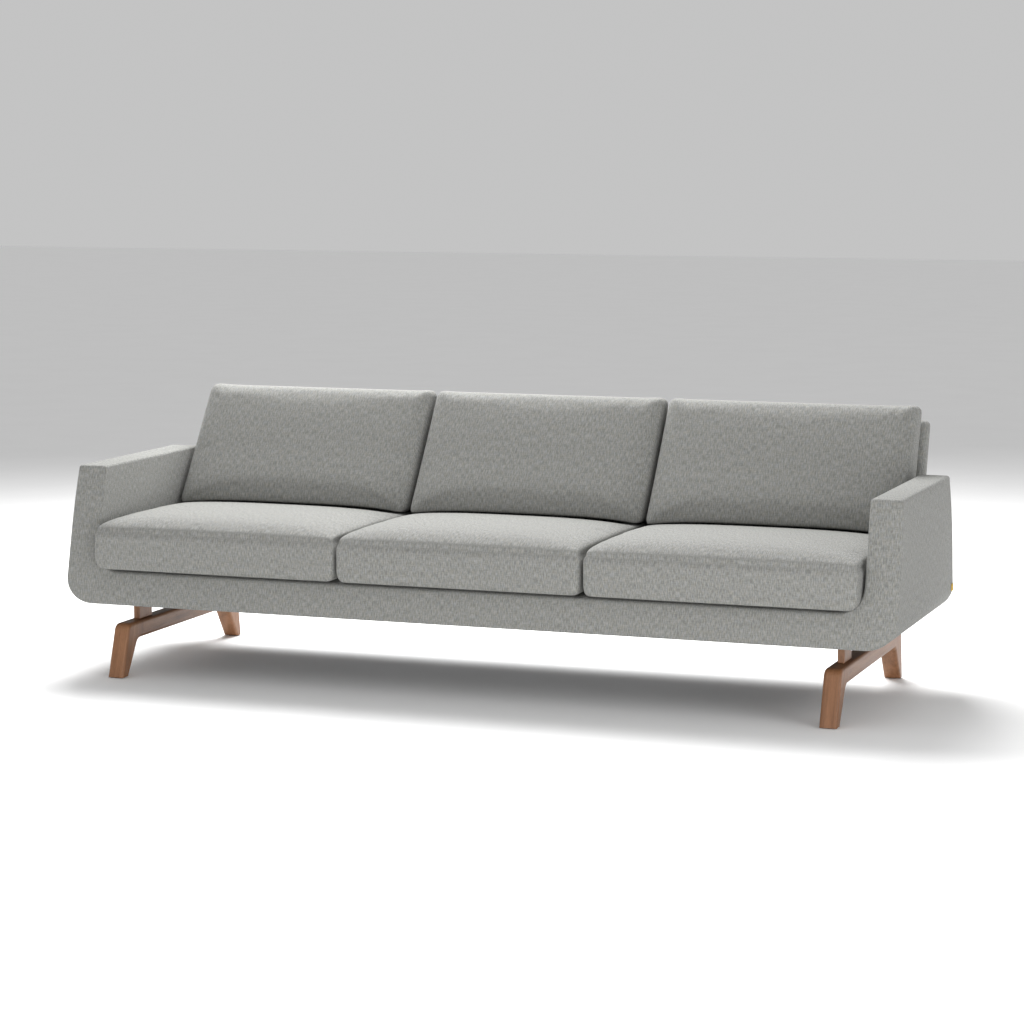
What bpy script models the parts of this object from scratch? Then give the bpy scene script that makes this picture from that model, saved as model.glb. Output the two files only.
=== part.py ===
"""A three-seat sofa: an upholstered body on two wooden trestles, with six loose cushions.

Metres, +Z up. X runs along the sofa, with the left arm at -X, and Y runs from front to back.
Inside this script Y counts from the line where the arms' raked front faces would meet the
floor, and the root empty then centres the depth on the origin. The floor is Z = 0.
"""

import math

import bmesh
import bpy
from mathutils import Matrix

# ---- Driving dimensions ----
MIDDLE_Y = 0.4787         # halfway between the front feet and the back's rearmost line
CLEAR = 0.0003            # gap between touching pieces

UNDERSIDE = 0.2165        # bottom of the upholstered body
DECK_TOP = 0.322
RAIL_TOP = 0.3077         # top of the wooden base frame
ARM_TOP = 0.622
ARM_INNER_X = 1.1693
ARM_TOP_X = 1.260         # outer face at the arm's top edge
ARM_WIDEST_X = 1.268
ARM_WIDEST_Z = 0.400
ARM_SPLIT_X = 1.1393      # where an arm's upholstery meets the front rail's
CORNER_ACROSS = 0.090     # the body's lower outer corner, an ellipse
CORNER_HIGH = 0.077
INNER_RADIUS = 0.030
FRONT_RAKE = 0.232        # Y per metre of height on the front face
REAR_Y_AT_TOP = 0.772     # rear of an arm at its top
REAR_RAKE = -0.13

BACK_TOP = 0.767
BACK_FRONT_Y = 0.890      # the back's front face, carried up to BACK_TOP
BACK_FRONT_RAKE = 0.37
BACK_REAR_Y = 0.9424      # the back's rear face, carried up to BACK_TOP
BACK_REAR_RAKE = 0.31
BACK_REAR_FOOT = 0.337    # where the sloping rear face ends
BACK_ROUND = 0.022
BACK_CAVITY_TOP = 0.747
BACK_END_WALL = 0.010

CUSHION_GAP_X = 0.377     # middle of the gap beside the centre cushions
CUSHION_GAP = 0.005
SEAT_END_X, BACK_END_X = 1.163, 1.153
CUSHION_ROUND = 0.024
SEAT_FRONT, SEAT_REAR = 0.038, 0.705
SEAT_LOW, SEAT_HIGH = 0.3225, 0.449
SEAT_CROWN = 0.028
BACK_CUSHION_FRONT = ((0.588, 0.475), (0.845, 0.827))
BACK_CUSHION_LOW, BACK_CUSHION_HIGH = 0.461, 0.800
BACK_CROWN = 0.014

TRESTLE_X = 1.088
TRESTLE_WIDTH = 0.051
STRETCHER_LOW, STRETCHER_TOP = 0.106, 0.157
FRONT_JOINT_Y, REAR_JOINT_Y = 0.165, 0.7355
LEG_ROUND = 0.009         # along the trestle's long edges
FOOT_ROUND_SHARE = 0.25   # the feet's edges are rounded by this share of LEG_ROUND
GLIDE_HIGH, GLIDE_RADIUS = 0.002, 0.0125
FRONT_GLIDE_Y, REAR_GLIDE_Y = 0.047, 0.834
POST_THICK, POST_DEPTH = 0.020, 0.084
POST_FRONT_YS = (0.170, 0.650)
BOLT_INSETS = (0.020, 0.064)
BOLT_RADIUS = 0.004
BOLT_HEAD_RADIUS, BOLT_HEAD_HIGH = 0.007, 0.005
COUNTERBORE_DEEP = 0.012

WOOD_RAIL = 0.027
DECK_REAR = 0.750
CROSS_RAIL_X = 0.385
STRAP_WIDTH, STRAP_THICK = 0.050, 0.002
STRAP_COUNT, CROSS_STRAP_COUNT = 9, 3


# ---- Scene and materials ----
def clear_scene():
    for obj in list(bpy.data.objects):
        bpy.data.objects.remove(obj)
    for collection in list(bpy.data.collections):
        bpy.data.collections.remove(collection)


def collection(name):
    made = bpy.data.collections.new(name)
    bpy.context.scene.collection.children.link(made)
    return made


def principled(name, color, roughness, metallic=0.0):
    material = bpy.data.materials.new(name)
    material.use_nodes = True
    shader = material.node_tree.nodes["Principled BSDF"]
    shader.inputs["Base Color"].default_value = (*color, 1.0)
    shader.inputs["Roughness"].default_value = roughness
    shader.inputs["Metallic"].default_value = metallic
    material.diffuse_color = (*color, 1.0)
    return material


clear_scene()
PARTS = collection("sofa_with_wooden_legs")
CUTTERS = collection("cutters")
ROOT = bpy.data.objects.new("sofa_root", None)
ROOT.location.y = -MIDDLE_Y
PARTS.objects.link(ROOT)


def fabric():
    return principled("fabric", (0.36, 0.36, 0.35), 0.9)


def walnut():
    return principled("walnut", (0.27, 0.11, 0.045), 0.35)


def frame_wood():
    return principled("frame_wood", (0.62, 0.45, 0.27), 0.7)


# ---- Shape helpers ----
def link(name, mesh, material, where=PARTS):
    obj = bpy.data.objects.new(name, mesh)
    mesh.name = name
    mesh.materials.clear()
    if material:
        mesh.materials.append(material)
    where.objects.link(obj)
    obj.parent = ROOT
    return obj


def to_mesh(bm, name):
    bmesh.ops.recalc_face_normals(bm, faces=bm.faces)
    mesh = bpy.data.meshes.new(name)
    bm.to_mesh(mesh)
    bm.free()
    return mesh


def block(name, low, high, material, where=PARTS):
    """A box between two opposite corners."""
    bm = bmesh.new()
    bmesh.ops.create_cube(bm, size=1.0)
    size = [b - a for a, b in zip(low, high)]
    middle = [(a + b) / 2 for a, b in zip(low, high)]
    bmesh.ops.scale(bm, vec=size, verts=bm.verts)
    bmesh.ops.translate(bm, vec=middle, verts=bm.verts)
    return link(name, to_mesh(bm, name), material, where)


def upright(name, x, y, low, high, radius, material, where=PARTS, sides=24):
    """A cylinder along Z."""
    bm = bmesh.new()
    bmesh.ops.create_cone(
        bm, cap_ends=True, segments=sides, radius1=radius, radius2=radius, depth=high - low
    )
    bmesh.ops.translate(bm, vec=(x, y, (low + high) / 2), verts=bm.verts)
    return link(name, to_mesh(bm, name), material, where)


def arc(centre, radii, start, end, steps):
    """Points on an ellipse from one angle to another, in degrees."""
    for i in range(steps + 1):
        angle = math.radians(start + (end - start) * i / steps)
        yield (centre[0] + radii[0] * math.cos(angle), centre[1] + radii[1] * math.sin(angle))


def outline_mesh(name, points, thickness):
    """A flat outline in local XY, filled and thickened evenly along local Z."""
    curve = bpy.data.curves.new(name, "CURVE")
    curve.dimensions = "2D"
    curve.fill_mode = "BOTH"
    curve.extrude = thickness / 2
    spline = curve.splines.new("POLY")
    spline.points.add(len(points) - 1)
    for point, (u, v) in zip(spline.points, points):
        point.co = (u, v, 0.0, 1.0)
    spline.use_cyclic_u = True
    guide = bpy.data.objects.new(name, curve)
    PARTS.objects.link(guide)
    graph = bpy.context.evaluated_depsgraph_get()
    mesh = bpy.data.meshes.new_from_object(guide.evaluated_get(graph))
    bpy.data.objects.remove(guide)
    bm = bmesh.new()
    bm.from_mesh(mesh)
    bmesh.ops.remove_doubles(bm, verts=bm.verts, dist=1e-6)
    bmesh.ops.dissolve_limit(bm, angle_limit=0.001, verts=bm.verts, edges=bm.edges)
    return bm


ALONG_X = Matrix(((0, 0, 1, 0), (1, 0, 0, 0), (0, 1, 0, 0), (0, 0, 0, 1)))
ALONG_Y = Matrix(((1, 0, 0, 0), (0, 0, -1, 0), (0, 1, 0, 0), (0, 0, 0, 1)))


def side_outline(name, points, x_low, x_high, material, where=PARTS):
    """A (Y, Z) outline carried along X."""
    bm = outline_mesh(name, points, x_high - x_low)
    bmesh.ops.transform(bm, matrix=ALONG_X, verts=bm.verts)
    bmesh.ops.translate(bm, vec=((x_low + x_high) / 2, 0, 0), verts=bm.verts)
    return link(name, to_mesh(bm, name), material, where)


def bevel(obj, width, segments=2, angle=40):
    modifier = obj.modifiers.new("Bevel", "BEVEL")
    modifier.width = width
    modifier.segments = segments
    modifier.limit_method = "ANGLE"
    modifier.angle_limit = math.radians(angle)
    return obj


def round_long_edges(obj, joints):
    """Rounds a trestle member's edges: fully along it, a little at its foot, not at its joints."""
    bm = bmesh.new()
    bm.from_mesh(obj.data)
    weight = bm.edges.layers.float.new("bevel_weight_edge")
    for edge in bm.edges:
        ends = [vert.co for vert in edge.verts]
        at_joint = any(all(abs(end.y - joint) < CLEAR for end in ends) for joint in joints)
        at_foot = all(end.z < GLIDE_HIGH + CLEAR for end in ends)
        if edge.calc_face_angle() > math.radians(35) and not at_joint:
            edge[weight] = FOOT_ROUND_SHARE if at_foot else 1.0
    bm.to_mesh(obj.data)
    bm.free()
    modifier = bevel(obj, LEG_ROUND, 4).modifiers["Bevel"]
    modifier.limit_method = "WEIGHT"


def boolean(obj, other, operation="DIFFERENCE"):
    modifier = obj.modifiers.new(operation.title(), "BOOLEAN")
    modifier.operation = operation
    modifier.object = other
    modifier.solver = "EXACT"
    other.hide_render = True
    other.display_type = "WIRE"
    return obj


# ---- Lines that several pieces share ----
def front_y(z):
    """The raked front face of the arms and the front rail."""
    return FRONT_RAKE * z


def arm_rear_y(z):
    return REAR_Y_AT_TOP + REAR_RAKE * (z - ARM_TOP)


def back_front_y(z):
    return BACK_FRONT_Y + BACK_FRONT_RAKE * (z - BACK_TOP)


def back_rear_y(z):
    return BACK_REAR_Y + BACK_REAR_RAKE * (z - BACK_TOP)


def arm_outer_x(z):
    """The arm's outer face, which leans in a little above its widest line."""
    above = max(0.0, z - ARM_WIDEST_Z) / (ARM_TOP - ARM_WIDEST_Z)
    return ARM_WIDEST_X - (ARM_WIDEST_X - ARM_TOP_X) * above**2


# ---- Upholstered body ----
def arm_outline():
    """The arm's front view as (X, Z): the upright, the round lower corner and the inner fillet."""
    corner = (ARM_WIDEST_X - CORNER_ACROSS, UNDERSIDE + CORNER_HIGH)
    fillet = (ARM_INNER_X - INNER_RADIUS, DECK_TOP + INNER_RADIUS)
    points = [(ARM_SPLIT_X, UNDERSIDE)]
    points += arc(corner, (CORNER_ACROSS, CORNER_HIGH), -90, 0, 8)
    points += [(arm_outer_x(z), z) for z in (ARM_WIDEST_Z, 0.48, 0.55, ARM_TOP)]
    points += [(ARM_INNER_X, ARM_TOP)]
    points += arc(fillet, (INNER_RADIUS, INNER_RADIUS), 0, -90, 6)
    return points


def arm(side, name):
    """One arm's upholstery: foam and cover, with a slot below for its board."""
    bm = outline_mesh(name, [(x, z) for x, z in arm_outline()], 1.0)
    bmesh.ops.transform(bm, matrix=ALONG_Y, verts=bm.verts)
    for vert in bm.verts:
        rake = front_y if vert.co.y < 0 else arm_rear_y
        vert.co.y = rake(vert.co.z)
        vert.co.x *= side
    upholstery = link(f"arm_upholstery_{name}", to_mesh(bm, name), fabric())
    inner, outer, inset, top = 1.197, 1.233, 0.045, 0.602
    foot = 0.236

    def board_outline(spare, low):
        return [
            (front_y(low) + inset - spare, low),
            (front_y(top) + inset - spare, top + spare),
            (arm_rear_y(top) - inset + spare, top + spare),
            (arm_rear_y(low) - inset + spare, low),
        ]

    xs = sorted((side * (inner - CLEAR), side * (outer + CLEAR)))
    slot = side_outline(f"arm_slot_{name}", board_outline(CLEAR, 0.15), *xs, None, CUTTERS)
    boolean(bevel(upholstery, 0.005, 2), slot)
    xs = sorted((side * inner, side * outer))
    side_outline(f"arm_board_{name}", board_outline(0.0, foot), *xs, frame_wood())


def front_rail():
    """The padded cover of the front rail, wrapped round its wooden rail."""
    half = ARM_SPLIT_X - CLEAR
    radius = 0.009
    wood_y, lip_y, wrap_y = 0.098, 0.112, 0.170
    lip_top, rail_low = 0.2225, 0.2228
    inner_top = RAIL_TOP + CLEAR
    shoulder = DECK_TOP - radius
    points = [(lip_y, UNDERSIDE), (lip_y, lip_top), (wood_y - CLEAR, lip_top)]
    points += [(wood_y - CLEAR, inner_top), (wrap_y, inner_top), (wrap_y, DECK_TOP)]
    points += arc((front_y(shoulder) + radius, shoulder), (radius, radius), 90, 180, 4)
    points += [(front_y(UNDERSIDE + 0.008), UNDERSIDE + 0.008)]
    points += [(front_y(UNDERSIDE) + 0.008, UNDERSIDE)]
    side_outline("front_rail_upholstery", points, -half, half, fabric())
    block(
        "front_rail",
        (-half, wood_y, rail_low),
        (half, wood_y + WOOD_RAIL, RAIL_TOP),
        frame_wood(),
    )


def base_frame():
    """Rear rail, side rails, cross rails and corner blocks of the seat box."""
    front, rear = 0.098 + WOOD_RAIL + CLEAR, 0.775
    low = UNDERSIDE + CLEAR
    side_low = TRESTLE_X - TRESTLE_WIDTH / 2
    side_high = TRESTLE_X + TRESTLE_WIDTH / 2
    half = ARM_SPLIT_X - CLEAR
    wood = frame_wood()
    block("rear_rail", (-half, rear, low), (half, rear + WOOD_RAIL, RAIL_TOP), wood)
    for side, name in ((-1, "left"), (1, "right")):
        xs = sorted((side * side_low, side * side_high))
        block(
            f"side_rail_{name}",
            (xs[0], front, low),
            (xs[1], rear - CLEAR, RAIL_TOP),
            frame_wood(),
        )
        x = side * CROSS_RAIL_X
        block(
            f"cross_rail_{name}",
            (x - WOOD_RAIL / 2, front, low + 0.004),
            (x + WOOD_RAIL / 2, rear - CLEAR, 0.296),
            frame_wood(),
        )
        for end, y, turn in (("front", front, 1), ("rear", rear - CLEAR, -1)):
            leg = 0.070
            corner_x = side * (side_low - CLEAR)
            corner_y = y + turn * CLEAR
            triangle = [
                (corner_x, corner_y),
                (corner_x - side * leg, corner_y),
                (corner_x, corner_y + turn * leg),
            ]
            bm = outline_mesh("corner", triangle, 0.060)
            bmesh.ops.translate(bm, vec=(0, 0, 0.262), verts=bm.verts)
            name_here = f"corner_block_{end}_{name}"
            link(name_here, to_mesh(bm, name_here), frame_wood())


def seat_platform():
    """The covered deck, the webbing under it and the dust cover below the frame."""
    half = ARM_SPLIT_X - CLEAR
    block(
        "seat_deck",
        (-half, 0.170 + CLEAR, RAIL_TOP + CLEAR),
        (half, DECK_REAR, DECK_TOP),
        fabric(),
    )
    front, rear = 0.098 + WOOD_RAIL + 2 * CLEAR, 0.775 - CLEAR
    inner = TRESTLE_X - TRESTLE_WIDTH / 2 - CLEAR
    low = 0.3000
    webbing = principled("webbing", (0.05, 0.05, 0.05), 0.8)
    span = 2 * inner - 0.16
    straps = []
    for i in range(STRAP_COUNT):
        x = -span / 2 + span * i / (STRAP_COUNT - 1)
        straps.append(((x - STRAP_WIDTH / 2, front, low), (x + STRAP_WIDTH / 2, rear, low + STRAP_THICK)))
    for i in range(CROSS_STRAP_COUNT):
        y = front + (rear - front) * (i + 1) / (CROSS_STRAP_COUNT + 1)
        straps.append(
            ((-inner, y - STRAP_WIDTH / 2, low + STRAP_THICK / 2),
             (inner, y + STRAP_WIDTH / 2, low + 1.5 * STRAP_THICK))
        )
    first = block("seat_webbing", *straps[-1], webbing)
    for i, (below, above) in enumerate(straps[:-1]):
        boolean(first, block(f"strap_{i}", below, above, None, CUTTERS), "UNION")
    cover = principled("dust_cloth", (0.03, 0.03, 0.03), 0.95)
    block(
        "dust_cover",
        (-inner, 0.112 + CLEAR, UNDERSIDE + CLEAR),
        (inner, 0.775 - CLEAR, UNDERSIDE + 0.0018),
        cover,
    )


def back_cavity(z):
    """Front and rear Y of the space inside the back's padding, which narrows upwards."""
    up = (z - DECK_TOP) / (BACK_CAVITY_TOP - DECK_TOP)
    return (
        back_front_y(z) + 0.035 - 0.019 * up,
        back_rear_y(z) - 0.006 - 0.010 * up,
    )


def back_board(name, low, top, x_low, x_high):
    """A frame member that fills the back's cavity between two heights."""
    spare = 0.0006
    (front_low, rear_low), (front_top, rear_top) = back_cavity(low), back_cavity(top)
    points = [
        (front_low + spare, low),
        (front_top + spare, top),
        (rear_top - spare, top),
        (rear_low - spare, low),
    ]
    return side_outline(name, points, x_low, x_high, frame_wood())


def back():
    """The wedge-shaped back between the arms: padded cover, top rail and four posts."""
    half = ARM_INNER_X - CLEAR
    bottom = DECK_TOP + CLEAR
    step_y, below = 0.790, 0.300
    rear_top = (back_rear_y(BACK_TOP) - 1.5 * BACK_ROUND, BACK_TOP - BACK_ROUND)
    points = [
        (back_front_y(bottom), bottom),
        (back_front_y(BACK_TOP - 0.012), BACK_TOP - 0.012),
        (back_front_y(BACK_TOP - 0.002) + 0.008, BACK_TOP),
    ]
    points += arc(rear_top, (BACK_ROUND, BACK_ROUND), 80, -10, 4)
    points += [(back_rear_y(BACK_REAR_FOOT), BACK_REAR_FOOT)]
    points += [(step_y, BACK_REAR_FOOT), (step_y, bottom)]
    cover = side_outline("back_upholstery", points, -half, half, fabric())
    (front_low, rear_low), (front_top, rear_top) = back_cavity(below), back_cavity(BACK_CAVITY_TOP)
    space = [(front_low, below), (front_top, BACK_CAVITY_TOP)]
    space += [(rear_top, BACK_CAVITY_TOP), (rear_low, below)]
    inside = half - BACK_END_WALL
    boolean(cover, side_outline("back_space", space, -inside, inside, None, CUTTERS))
    for side in (-1, 1):
        xs = sorted((side * (ARM_SPLIT_X - CLEAR), side * (ARM_INNER_X + 0.01)))
        notch = block(
            f"back_notch_{'right' if side > 0 else 'left'}",
            (xs[0], 0.5, DECK_TOP - 0.01),
            (xs[1], 0.9, DECK_TOP + INNER_RADIUS + CLEAR),
            None,
            CUTTERS,
        )
        boolean(cover, notch)
    rail_low = 0.722
    wood_half = half - 0.020
    back_board("back_top_rail", rail_low, BACK_CAVITY_TOP - 0.001, -wood_half, wood_half)
    for i, x in enumerate((-1.12, -CROSS_RAIL_X, CROSS_RAIL_X, 1.12)):
        edges = (x - WOOD_RAIL / 2, x + WOOD_RAIL / 2)
        back_board(f"back_post_{i + 1}", RAIL_TOP + CLEAR, rail_low - CLEAR, *edges)
    rear = 0.775 + WOOD_RAIL + CLEAR
    panel_half = ARM_SPLIT_X - CLEAR
    block(
        "outside_back_panel",
        (-panel_half, rear, UNDERSIDE),
        (panel_half, rear + 0.006, BACK_REAR_FOOT - CLEAR),
        fabric(),
    )


# ---- Cushions ----
def soft_block(name, x_middle, width, profile, crown, crowned, cuts=4):
    """A padded block: four (Y, Z) corners carried along X, with one face crowned.

    The corners run front-bottom, front-top, rear-top, rear-bottom.
    """
    bm = bmesh.new()
    bmesh.ops.create_cube(bm, size=2.0)
    bmesh.ops.subdivide_edges(bm, edges=bm.edges, cuts=cuts, use_grid_fill=True)
    front_low, front_high, rear_high, rear_low = profile
    up = (front_high[0] - front_low[0], front_high[1] - front_low[1])
    length = math.hypot(*up)
    outward = {"top": (0.0, 1.0), "front": (-up[1] / length, up[0] / length)}[crowned]
    for vert in bm.verts:
        u, v, w = vert.co
        back, high = (v + 1) / 2, (w + 1) / 2
        place = [
            (1 - high) * ((1 - back) * a + back * d) + high * ((1 - back) * b + back * c)
            for a, b, c, d in zip(front_low, front_high, rear_high, rear_low)
        ]
        across = v if crowned == "top" else w
        share = high if crowned == "top" else 1 - back
        swell = crown * share * (1 - abs(u) ** 3) * (1 - abs(across) ** 3)
        vert.co = (
            u * width / 2,
            place[0] + swell * outward[0],
            place[1] + swell * outward[1],
        )
    middle = [sum(corner[i] for corner in profile) / 4 for i in (0, 1)]
    bmesh.ops.translate(bm, vec=(0, -middle[0], -middle[1]), verts=bm.verts)
    obj = link(name, to_mesh(bm, name), fabric())
    obj.location = (x_middle, *middle)
    return bevel(obj, CUSHION_ROUND, 3, 50)


def cushions():
    rear_gap = 0.0008
    rear = [
        (back_front_y(z) - rear_gap, z) for z in (BACK_CUSHION_HIGH, BACK_CUSHION_LOW)
    ]
    back_profile = (*BACK_CUSHION_FRONT, *rear)
    seat_profile = (
        (SEAT_FRONT, SEAT_LOW),
        (SEAT_FRONT, SEAT_HIGH),
        (SEAT_REAR, SEAT_HIGH),
        (SEAT_REAR, SEAT_LOW),
    )
    kinds = (
        ("seat_cushion", SEAT_END_X, seat_profile, SEAT_CROWN, "top"),
        ("back_cushion", BACK_END_X, back_profile, BACK_CROWN, "front"),
    )
    inner_edge = CUSHION_GAP_X - CUSHION_GAP / 2
    outer_edge = CUSHION_GAP_X + CUSHION_GAP / 2
    for kind, end_x, profile, crown, crowned in kinds:
        x = (outer_edge + end_x) / 2
        width = end_x - outer_edge
        soft_block(f"{kind}_left", -x, width, profile, crown, crowned)
        soft_block(f"{kind}_centre", 0.0, 2 * inner_edge, profile, crown, crowned)
        soft_block(f"{kind}_right", x, width, profile, crown, crowned)


# ---- Wooden trestles ----
def front_leg_outline():
    """The front leg, its round top corner, and its end of the stretcher, as (Y, Z)."""
    foot_front, foot_rear = 0.026, 0.0665
    lean = 0.3278
    round_top = 0.026
    top_y = foot_front + lean * (STRETCHER_TOP - round_top) + round_top
    points = [(foot_front + lean * GLIDE_HIGH, GLIDE_HIGH)]
    points += arc((top_y, STRETCHER_TOP - round_top), (round_top, round_top), 170, 90, 5)
    points += [(FRONT_JOINT_Y - CLEAR / 2, STRETCHER_TOP), (FRONT_JOINT_Y - CLEAR / 2, STRETCHER_LOW)]
    points += arc((0.150, STRETCHER_LOW - 0.036), (0.034, 0.036), 90, 152, 4)
    points += [(foot_rear + 0.001, GLIDE_HIGH)]
    return points


def rear_leg_outline():
    foot_front, foot_rear = 0.820, 0.848
    inner_y = 0.750
    lean = -0.125
    round_top = 0.020
    top_y = foot_rear + lean * STRETCHER_TOP - round_top
    points = [(REAR_JOINT_Y + CLEAR / 2, STRETCHER_LOW), (REAR_JOINT_Y + CLEAR / 2, STRETCHER_TOP)]
    points += arc((top_y, STRETCHER_TOP - round_top), (round_top, round_top), 90, 8, 4)
    points += [(foot_rear, GLIDE_HIGH), (foot_front, GLIDE_HIGH)]
    points += [(inner_y + 0.006, STRETCHER_LOW - 0.010), (inner_y - 0.006, STRETCHER_LOW)]
    return points


def trestle(side, name):
    """Front and rear legs, the stretcher between them, two posts, four bolts, two glides."""
    x = side * TRESTLE_X
    low, high = x - TRESTLE_WIDTH / 2, x + TRESTLE_WIDTH / 2
    front = side_outline(f"front_leg_{name}", front_leg_outline(), low, high, walnut())
    rear = side_outline(f"rear_leg_{name}", rear_leg_outline(), low, high, walnut())
    stretcher = block(
        f"stretcher_{name}",
        (low, FRONT_JOINT_Y + CLEAR / 2, STRETCHER_LOW),
        (high, REAR_JOINT_Y - CLEAR / 2, STRETCHER_TOP),
        walnut(),
    )
    for member in (front, rear, stretcher):
        round_long_edges(member, (FRONT_JOINT_Y, REAR_JOINT_Y))
    steel = principled("bolt_steel", (0.55, 0.55, 0.56), 0.35, 1.0)
    for end, post_y in zip(("front", "rear"), POST_FRONT_YS):
        post = block(
            f"{end}_post_{name}",
            (x - POST_THICK / 2, post_y, STRETCHER_TOP + CLEAR),
            (x + POST_THICK / 2, post_y + POST_DEPTH, UNDERSIDE),
            walnut(),
        )
        bevel(post, 0.002, 1)
        for number, inset in enumerate(BOLT_INSETS, 1):
            bolt_hole_and_bolt(f"{end}_bolt_{number}_{name}", x, post_y + inset, (stretcher, post), steel)
    for end, y in (("front", FRONT_GLIDE_Y), ("rear", REAR_GLIDE_Y)):
        nylon = principled("nylon", (0.04, 0.03, 0.025), 0.5)
        upright(f"{end}_glide_{name}", x, y, 0.0, GLIDE_HIGH - CLEAR, GLIDE_RADIUS, nylon)


def bolt_hole_and_bolt(name, x, y, held, steel):
    """A counterbored hole up through the stretcher and a post, and the bolt in it."""
    seat = STRETCHER_LOW + COUNTERBORE_DEEP
    shaft_hole = upright(f"{name}_hole", x, y, 0.1, 0.3, BOLT_RADIUS + CLEAR, None, CUTTERS, 16)
    head_hole = upright(f"{name}_bore", x, y, 0.09, seat, BOLT_HEAD_RADIUS + 0.001, None, CUTTERS, 16)
    for obj in held:
        boolean(obj, shaft_hole)
    boolean(held[0], head_hole)
    bolt = upright(name, x, y, seat - 0.001, UNDERSIDE, BOLT_RADIUS, steel, sides=16)
    head_top = seat - CLEAR
    head_low = head_top - BOLT_HEAD_HIGH
    head = upright(f"{name}_head", x, y, head_low, head_top, BOLT_HEAD_RADIUS, None, CUTTERS, 16)
    boolean(bolt, head, "UNION")


def label_tab():
    """A small blank folded tab, sewn low on the right arm's outer face near its rear edge."""
    block(
        "label_tab",
        (ARM_WIDEST_X + CLEAR, 0.778, 0.280),
        (ARM_WIDEST_X + 0.0025, 0.804, 0.301),
        principled("tab_cloth", (0.75, 0.50, 0.06), 0.8),
    )


for side_sign, side_name in ((-1, "left"), (1, "right")):
    arm(side_sign, side_name)
    trestle(side_sign, side_name)
front_rail()
base_frame()
seat_platform()
back()
cushions()
label_tab()
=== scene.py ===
# %% [markdown]
# # A three-seat sofa on two walnut trestles
#
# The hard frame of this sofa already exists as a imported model: rails, posts, bolts, legs and
# plain solids where the soft parts go. This lesson loads that model and dresses it. Each cell
# makes one piece or one finish, says what it is on a real sofa, and prints what it measured.
# Everything is in metres, X runs along the sofa, Y from its front to its back, and Z up.

# %% Load the frame
import math

import bmesh
import bpy
import numpy as np
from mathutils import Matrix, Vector


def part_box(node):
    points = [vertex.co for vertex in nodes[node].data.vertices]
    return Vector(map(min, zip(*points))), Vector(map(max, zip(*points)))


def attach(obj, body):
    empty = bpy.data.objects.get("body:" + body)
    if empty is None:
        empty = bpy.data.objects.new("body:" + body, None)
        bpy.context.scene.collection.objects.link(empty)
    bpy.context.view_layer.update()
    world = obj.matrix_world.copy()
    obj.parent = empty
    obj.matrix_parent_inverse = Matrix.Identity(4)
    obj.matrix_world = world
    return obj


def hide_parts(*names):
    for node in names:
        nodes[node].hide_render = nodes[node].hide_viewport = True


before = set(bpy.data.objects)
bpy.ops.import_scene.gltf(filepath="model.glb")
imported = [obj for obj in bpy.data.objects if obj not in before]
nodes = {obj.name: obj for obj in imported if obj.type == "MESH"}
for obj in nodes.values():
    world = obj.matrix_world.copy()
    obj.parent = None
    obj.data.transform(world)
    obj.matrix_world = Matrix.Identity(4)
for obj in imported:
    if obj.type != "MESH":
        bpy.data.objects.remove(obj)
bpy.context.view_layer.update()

# %% [markdown]
# ## Lines that the pieces share
#
# An upholsterer works from a few lines: the floor, the underside of the body, the deck that
# the cushions lie on, the top of the arms, and how far each face leans. They are read from
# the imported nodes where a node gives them. Depths count from the line where the leaning
# front faces of the arms would meet the floor, so `at(y)` turns such a depth into a real Y.

# %% Shared lines
SEAT_FRONT = 0.038
FRONT_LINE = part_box("seat_cushion_left")[0].y - SEAT_FRONT
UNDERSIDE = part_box("arm_upholstery_left")[0].z
ARM_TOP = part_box("arm_upholstery_left")[1].z
DECK_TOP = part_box("seat_deck")[1].z
ARM_WIDEST = -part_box("arm_upholstery_left")[0].x
ARM_INNER = -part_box("arm_upholstery_left")[1].x + 0.030
BACK_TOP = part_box("back_upholstery")[1].z
FRONT_RAKE, REAR_RAKE = 0.232, -0.13
REAR_AT_TOP = 0.772
BACK_FRONT_RAKE, BACK_REAR_RAKE = 0.37, 0.31
BACK_FRONT_AT_TOP, BACK_REAR_AT_TOP = 0.890, 0.9424


def at(depth):
    """A depth behind the front line, as a real Y."""
    return FRONT_LINE + depth


def front_depth(z):
    return FRONT_RAKE * z


def arm_rear_depth(z):
    return REAR_AT_TOP + REAR_RAKE * (z - ARM_TOP)


def back_front_depth(z):
    return BACK_FRONT_AT_TOP + BACK_FRONT_RAKE * (z - BACK_TOP)


def back_rear_depth(z):
    return BACK_REAR_AT_TOP + BACK_REAR_RAKE * (z - BACK_TOP)


print("front line", round(FRONT_LINE, 4), "arm", round(ARM_INNER, 4), round(ARM_WIDEST, 4))

# %% [markdown]
# ## Helpers for shaders
#
# A finish is a small graph of nodes that ends in one Principled shader. These helpers add a
# node, set its inputs by name and wire it, so that each finish below reads as a short recipe.
# A value that is the same everywhere, such as the sheen, is set on the shader's own socket.

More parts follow.
